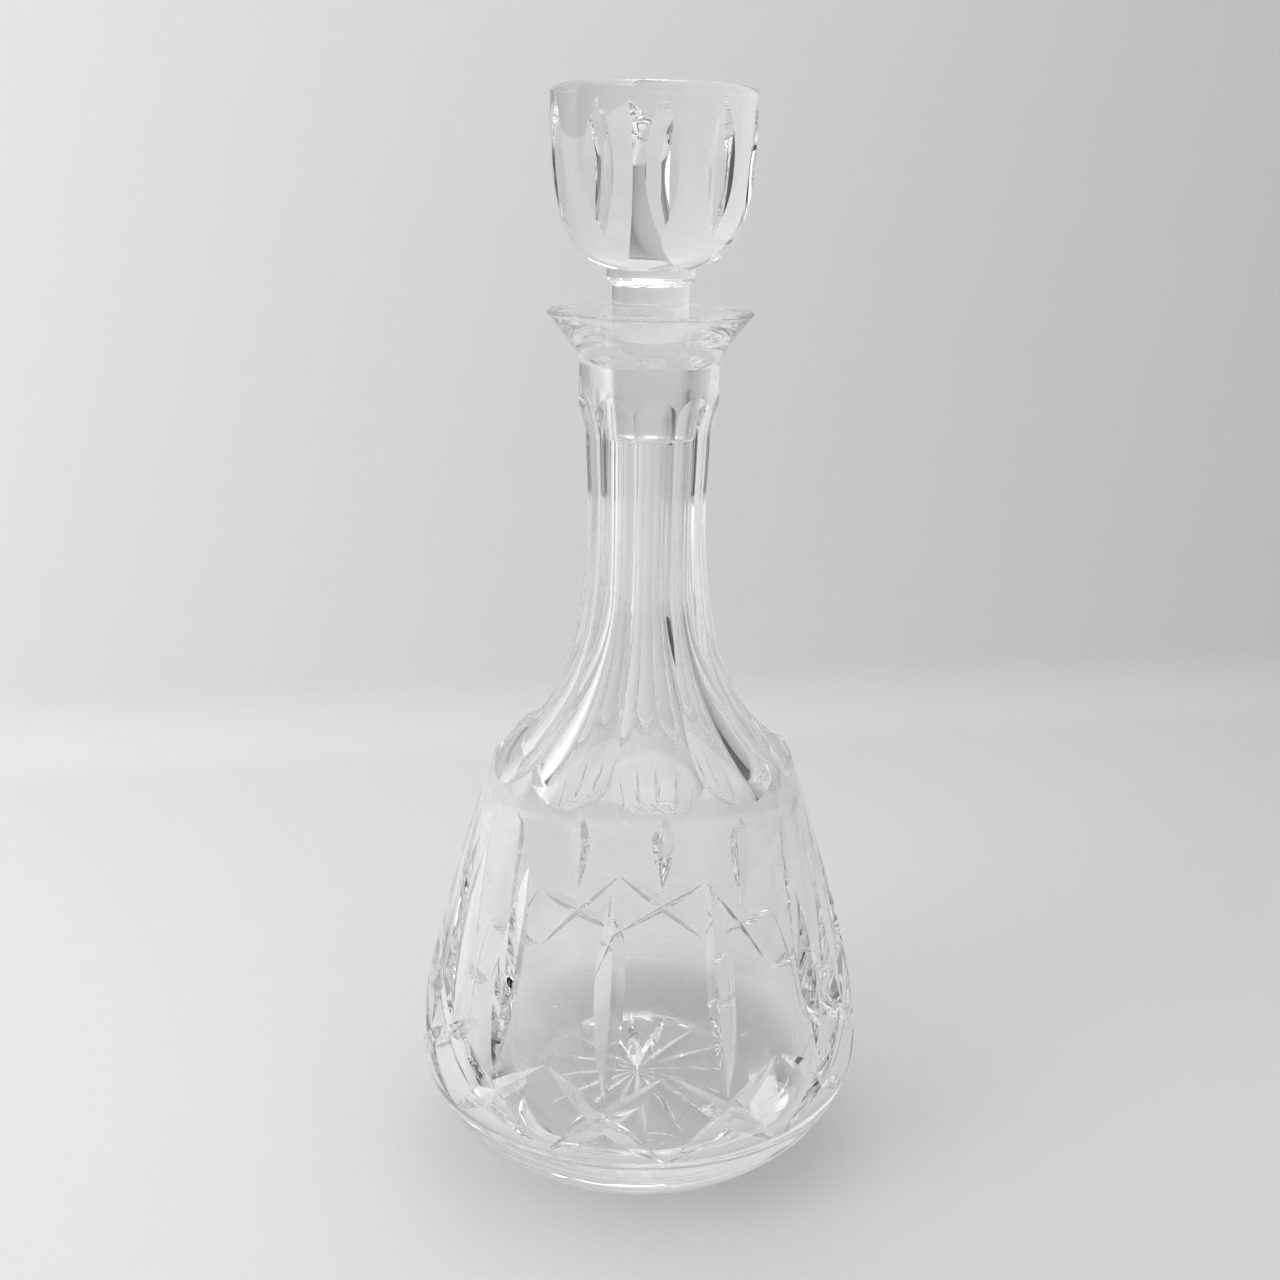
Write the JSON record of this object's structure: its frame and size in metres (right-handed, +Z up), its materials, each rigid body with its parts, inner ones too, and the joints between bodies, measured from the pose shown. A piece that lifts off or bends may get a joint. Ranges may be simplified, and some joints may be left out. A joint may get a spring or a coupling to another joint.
{
  "type": "decanter",
  "caption": "Pear-shaped cut crystal decanter with a fluted neck, flared lip, mitre-cut body, star-cut base and a solid lift-out ground stopper.",
  "frame": {"origin": "centre of the foot, on the plane it stands on", "axes": "+Z up the axis of the bottle and stopper; the pictured front faces -Y"},
  "size_m": [0.1216, 0.1216, 0.285],
  "materials": {
    "bottle_crystal": "polished clear lead crystal, ground inside the top of the neck",
    "stopper_crystal": "polished clear lead crystal with a ground plug"
  },
  "bodies": {
    "decanter_bottle": {"bottle": "bottle_crystal"},
    "decanter_stopper": {"stopper": "stopper_crystal"}
  },
  "joints": [
    {"name": "stopper_lift", "type": "slide", "parent": "decanter_bottle", "child": "decanter_stopper", "axis": [0, 0, 1], "range_m": [0, 0.06]}
  ]
}
